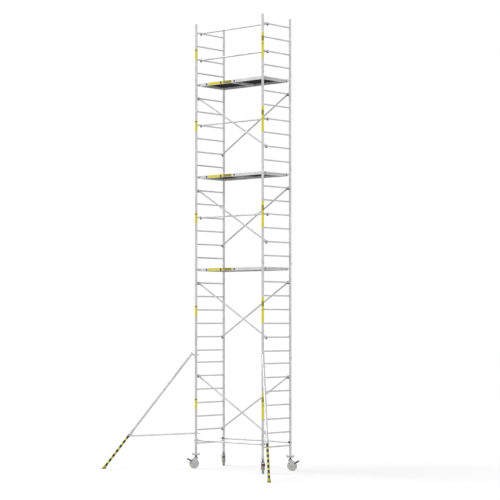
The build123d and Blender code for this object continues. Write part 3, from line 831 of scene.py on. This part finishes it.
TRAIL = 0.038
WHEEL_R = 0.100
RIM_R = 0.078
HUB_R = 0.030
WHEEL_HALF = 0.023
WEB_HALF = 0.0115
WHEEL_RIBS = 10
RIB_HALF = 0.0022
RIB_SUNK = 0.001
RIB_BELOW_RIM = 0.003
BEAD = ((0.0875, WHEEL_HALF - 0.001), (0.0905, WHEEL_HALF - 0.001),
        (0.0900, WHEEL_HALF + 0.0008), (0.0880, WHEEL_HALF + 0.0008))
BEAD_SEGMENTS = 96
TREAD_DIRT = (0.097, 0.104)
WHEEL_WHITE = (0.74, 0.76, 0.70, 1.0)
WHEEL_DIRT = (0.28, 0.28, 0.25, 1.0)
AXLE_HEAD = 0.041
AXLE_NUT_R = 0.0085
HEAD_SUNK = 0.001
HEAD_HEIGHT = 0.005
CROWN_LOW = 0.212
KINGPIN_R = 0.013
FORK_GREY = (0.60, 0.605, 0.60, 1.0)
FORK_DARK = (0.45, 0.455, 0.45, 1.0)
PEDAL_RED = (0.10, 0.006, 0.008, 1.0)
PEDAL_DARK = (0.06, 0.012, 0.012, 1.0)
PEDAL_PIVOT = Vector((0.086, 0.0, 0.150))
PEDAL_END = Vector((0.180, 0.0, 0.203))
PEDAL_TOP = 0.013
PEDAL_RIBS = (0.004, 0.010, 0.016, 0.022, 0.028, 0.034)
GRIP_LOW = (-0.0011, -0.034, PEDAL_TOP - 0.0005)
GRIP_HIGH = (0.0011, 0.034, PEDAL_TOP + 0.0014)
GRIP_ROUND = 0.0005


def distance_along(finish, point, way):
    """How far the shaded point lies beyond a point, along a direction."""
    offset = finish.node(
        "ShaderNodeVectorMath", {"operation": "SUBTRACT"}, {0: finish.place, 1: point})
    return finish.node(
        "ShaderNodeVectorMath", {"operation": "DOT_PRODUCT"}, {0: offset, 1: way}, "Value")


def wheel_plastic(corner):
    """Off-white plastic that is dirty on the tread and dusty in the ribs."""
    finish = Finish(f"wheel_plastic_{corner}")
    place = corner_place(corner)
    centre = place @ Vector((TRAIL, 0.0, WHEEL_R))
    out = distance_along(finish, centre, place.to_3x3() @ Vector((1.0, 0.0, 0.0)))
    up = distance_along(finish, centre, Vector((0.0, 0.0, 1.0)))
    radius = (out * out + up * up).math("SQRT")
    cloud = finish.noise(50.0, detail=6.0)
    tread = finish.spread(radius + cloud * 0.010, *TREAD_DIRT)
    dust = finish.spread(cloud, 0.45, 0.75, 0.0, 0.35)
    finish.feed("Base Color", finish.mix(tread * 0.8 + dust, WHEEL_WHITE, WHEEL_DIRT))
    finish.feed("Roughness", finish.spread(cloud, 0.3, 0.7, 0.42, 0.6))
    finish.bump(finish.noise(900.0, detail=2.0), 0.00008)
    return finish.material


def hexagon(radius, face):
    """Hexagonal head along Y, standing on a face at this distance and sunk a little into it."""
    low, high = face - HEAD_SUNK, face + HEAD_HEIGHT
    bpy.ops.mesh.primitive_cylinder_add(vertices=6, radius=radius, depth=high - low)
    head = bpy.context.object
    middle = Matrix.Translation((0.0, (low + high) / 2, 0.0))
    head.data.transform(middle @ Matrix.Rotation(pi / 2, 4, "X"))
    return head


fork_zinc = plain_metal("fork_zinc_plate", FORK_GREY, FORK_DARK, 0.3, 0.45, 0.5)
pedal_paint = moulded("pedal_dark_red_paint", PEDAL_RED, PEDAL_DARK, 0.3, 0.45, 0.00005)
dress([f"castor_fork_{corner}" for corner in CORNERS], fork_zinc)
dress([f"brake_pedal_{corner}" for corner in CORNERS], pedal_paint)
rise = -atan2(PEDAL_END.z - PEDAL_PIVOT.z, PEDAL_END.x - PEDAL_PIVOT.x)
reach = (PEDAL_END - PEDAL_PIVOT).length

for corner in CORNERS:
    place = corner_place(corner)
    hub = place @ Matrix.Translation((TRAIL, 0.0, WHEEL_R))
    wheel, fork = f"castor_wheel_{corner}", f"castor_fork_{corner}"
    plastic = wheel_plastic(corner)
    dress([wheel], plastic)
    spots = []
    for step in range(WHEEL_RIBS):
        for side in (0.0, pi):
            turn = Matrix.Rotation(2 * pi * step / WHEEL_RIBS, 4, "Y")
            spots.append(hub @ turn @ Matrix.Rotation(side, 4, "X"))
    rib = slab((HUB_R - RIB_SUNK, WEB_HALF - RIB_SUNK / 2, -RIB_HALF),
               (RIM_R + RIB_SUNK, WHEEL_HALF - RIB_BELOW_RIM, RIB_HALF), SMALL_ROUND)
    tidy(copies(rib, spots), f"wheel_ribs_{corner}", plastic, wheel)
    faces = [hub @ Matrix.Rotation(side * pi / 2, 4, "X") for side in (-1, 1)]
    beads = copies(turned(BEAD, BEAD_SEGMENTS), faces)
    tidy(beads, f"wheel_beads_{corner}", plastic, wheel)
    ends = [hub, hub @ Matrix.Rotation(pi, 4, "Z")]
    nuts = copies(hexagon(AXLE_NUT_R, AXLE_HEAD), ends)
    tidy(nuts, f"axle_nuts_{corner}", race_steel, fork)
    under = place @ Matrix.Translation((0.0, 0.0, CROWN_LOW)) @ Matrix.Rotation(pi, 4, "X")
    kingpin = copies(rivet(KINGPIN_R), [under])
    tidy(kingpin, f"kingpin_head_{corner}", race_steel, fork)
    lever = place @ Matrix.Translation(PEDAL_PIVOT) @ Matrix.Rotation(rise, 4, "Y")
    spots = [lever @ Matrix.Translation((reach - back, 0.0, 0.0)) for back in PEDAL_RIBS]
    grips = copies(slab(GRIP_LOW, GRIP_HIGH, GRIP_ROUND), spots)
    tidy(grips, f"pedal_grips_{corner}", pedal_paint, f"brake_pedal_{corner}")

# Outriggers. A telescopic raker in drawn tube, with yellow and black bands on its sliding leg, and
# a stay that holds it off the upright. Cast collars and wing bolts clamp both to the upright.

ARM_TOP = Vector((0.084, 0.0, 2.391))
ARM_FOOT = Vector((1.916, 0.0, 0.0))
ARM_LENGTH = 2.150
ARM_R = 0.0269
DIE_DRAW = 0.985
STRIPE_LOW = 0.078
STRIPE_HIGH = 0.857
STRIPE_STEP = 0.1188
STRIPE_BLACK = 0.56
BAND_YELLOW = (0.74, 0.70, 0.06, 1.0)
BAND_FADED = (0.60, 0.57, 0.13, 1.0)
BAND_BLACK = (0.008, 0.008, 0.006, 1.0)
RUBBER_YELLOW = (0.64, 0.62, 0.05, 1.0)
# Painted shade on the rubber foot: a near-black colour, and the heights above the floor over which
# it fades in.
RUBBER_FLOOR_SHADE = (0.07, 0.068, 0.04, 1.0)
FLOOR_SHADE_HEIGHT = (0.060, 0.018)
COLLAR_GREY = (0.60, 0.605, 0.60, 1.0)
COLLAR_DARK = (0.48, 0.49, 0.48, 1.0)
FOOT_LENGTH = 0.078
FERRULE = ((ARM_R - 0.0006, -0.004), (ARM_R + 0.0038, -0.004), (ARM_R + 0.0048, -0.002),
           (ARM_R + 0.0048, 0.030), (ARM_R + 0.0030, 0.036), (ARM_R - 0.0006, 0.036))
TOP_CAP = ((0.001, -0.012), (ARM_R - 0.003, -0.012), (ARM_R - 0.003, 0.0), (ARM_R + 0.0012, 0.0),
           (ARM_R + 0.0012, 0.004), (ARM_R - 0.002, 0.007), (0.001, 0.007))
SOLE_RINGS = (0.020, 0.034, 0.048)
SOLE_TOP_R = 0.029
SOLE_FLARE = 0.010
SOLE_RING = ((-0.001, -0.0025), (0.0022, -0.0015), (0.0022, 0.0015), (-0.001, 0.0025))
BOLT_R = 0.0075
CLAMP_BOLTS = ((0.043, 2.353), (0.043, 0.727))
CLAMP_FACE = 0.017
LUG_BOLTS = ((1.342, 0.676),)
LUG_FACE = 0.013
arm_up = (ARM_TOP - ARM_FOOT).normalized()
arm_span = (ARM_TOP - ARM_FOOT).length


def raker_metal(name, way):
    """Drawn tube whose die lines follow a slanting direction, drawn out long along it."""
    finish = Finish(name, metallic=0.55)
    length = distance_along(finish, Vector(), way)
    drawn = finish.node(
        "ShaderNodeVectorMath", {"operation": "SCALE"}, {0: way, 3: length * DIE_DRAW})
    flat = finish.node(
        "ShaderNodeVectorMath", {"operation": "SUBTRACT"}, {0: finish.place, 1: drawn})
    inputs = {"Vector": flat, "Scale": DIE_LINES, "Detail": 2.0}
    lines = finish.node("ShaderNodeTexNoise", inputs=inputs)
    patches = finish.noise(7.0, detail=4.0)
    finish.feed("Base Color", finish.mix(finish.spread(patches, 0.35, 0.7), BRACE_GREY, TUBE_DULL))
    finish.feed("Roughness", finish.spread(lines, 0.3, 0.7, 0.3, 0.42))
    finish.bump(lines, DIE_DEPTH)
    return finish.material


def banded_leg(name, floor_point, way):
    """Yellow and black bands up the leg, and bare aluminium above them."""
    finish = Finish(name)
    height = distance_along(finish, floor_point, way)
    cloud = finish.noise(40.0, detail=6.0)
    step = ((height - STRIPE_LOW) / STRIPE_STEP).fraction()
    black = step < STRIPE_BLACK
    yellow = finish.mix(finish.spread(cloud, 0.45, 0.75), BAND_YELLOW, BAND_FADED)
    bare = height > STRIPE_HIGH
    finish.feed("Base Color", finish.mix(bare, finish.mix(black, yellow, BAND_BLACK), BRACE_GREY))
    finish.feed("Metallic", bare * 0.55)
    finish.feed("Roughness", finish.spread(cloud, 0.3, 0.7, 0.3, 0.45))
    finish.bump(finish.noise(500.0, detail=2.0), 0.00004)
    return finish.material


def sole_rubber(name):
    """Yellow rubber, darkened towards the floor with painted shade."""
    finish = Finish(name)
    cloud = finish.noise(60.0, detail=6.0)
    # Painted shade: the rubber darkens to near black over its lowest few centimetres, where it
    # meets the floor.
    floor_shade = finish.spread(finish.axis("Z") + cloud * 0.03, *FLOOR_SHADE_HEIGHT)
    finish.feed("Base Color", finish.mix(floor_shade, RUBBER_YELLOW, RUBBER_FLOOR_SHADE))
    finish.feed("Roughness", finish.spread(cloud, 0.3, 0.7, 0.6, 0.8))
    finish.bump(finish.noise(700.0, detail=2.0), 0.0001)
    return finish.material


def sole_ring(along):
    """Raised ring round the flared foot, at a distance from its top."""
    radius = SOLE_TOP_R + along * SOLE_FLARE / (2 * FOOT_LENGTH)
    return [(radius + proud, height) for proud, height in SOLE_RING]


def on_leg(place, distance):
    """Place on the raker's axis, this far above the floor point, with +Z up the tube."""
    spot = place @ (ARM_FOOT + arm_up * distance)
    way = place.to_3x3() @ arm_up
    return Matrix.Translation(spot) @ way.to_track_quat("Z", "X").to_matrix().to_4x4()


rubber = sole_rubber("sole_rubber_yellow")
collar_nylon = moulded("raker_collar_grey", COLLAR_GREY, COLLAR_DARK, 0.4, 0.55)
for corner in ("left", "front"):
    place = corner_place(corner)
    way = place.to_3x3() @ arm_up
    tube_metal = raker_metal(f"raker_aluminium_{corner}", way)
    banded = banded_leg(f"banded_leg_{corner}", place @ ARM_FOOT, way)
    dress([f"outrigger_tube_{corner}", f"outrigger_stay_{corner}"], tube_metal)
    dress([f"outrigger_leg_{corner}"], banded)
    dress([f"outrigger_foot_{corner}"], rubber)
    body = f"outrigger_{corner}"
    collar = copies(turned(FERRULE), [on_leg(place, arm_span - ARM_LENGTH)])
    tidy(collar, f"raker_collar_{corner}", collar_nylon, body)
    cap = copies(turned(TOP_CAP), [on_leg(place, arm_span)])
    tidy(cap, f"raker_cap_{corner}", plug_black, body)
    for number, along in enumerate(SOLE_RINGS, 1):
        ring = copies(turned(sole_ring(along)), [on_leg(place, FOOT_LENGTH - along)])
        tidy(ring, f"sole_ring_{number}_{corner}", rubber, f"outrigger_leg_{corner}")
    for kind, bolts, face in (("collar", CLAMP_BOLTS, CLAMP_FACE), ("lug", LUG_BOLTS, LUG_FACE)):
        ends = []
        for out, height in bolts:
            spot = place @ Matrix.Translation((out, 0.0, height))
            ends += [spot, spot @ Matrix.Rotation(pi, 4, "Z")]
        tidy(copies(hexagon(BOLT_R, face), ends), f"{kind}_bolts_{corner}", race_steel,
             body)

# Base brace rivets. The claws of the two base braces are held in their tubes by steel rivets, put
# in from both sides.

BASE_BRACE_HEIGHT = 0.580

raised = Matrix.Translation((0.0, 0.0, SHANK_R - RIVET_SUNK))
spots = []
for side_x, side_y in CORNERS.values():
    for along in RIVET_AT:
        for turn in (0.0, pi):
            spot = (side_x * (frame_x - along), side_y * upright_y, BASE_BRACE_HEIGHT)
            spots.append(Matrix.Translation(spot) @ Matrix.Rotation(turn, 4, "X") @ raised)
tidy(copies(rivet(RIVET_R), spots), "base_braces_rivets", rivet_metal, "tower")
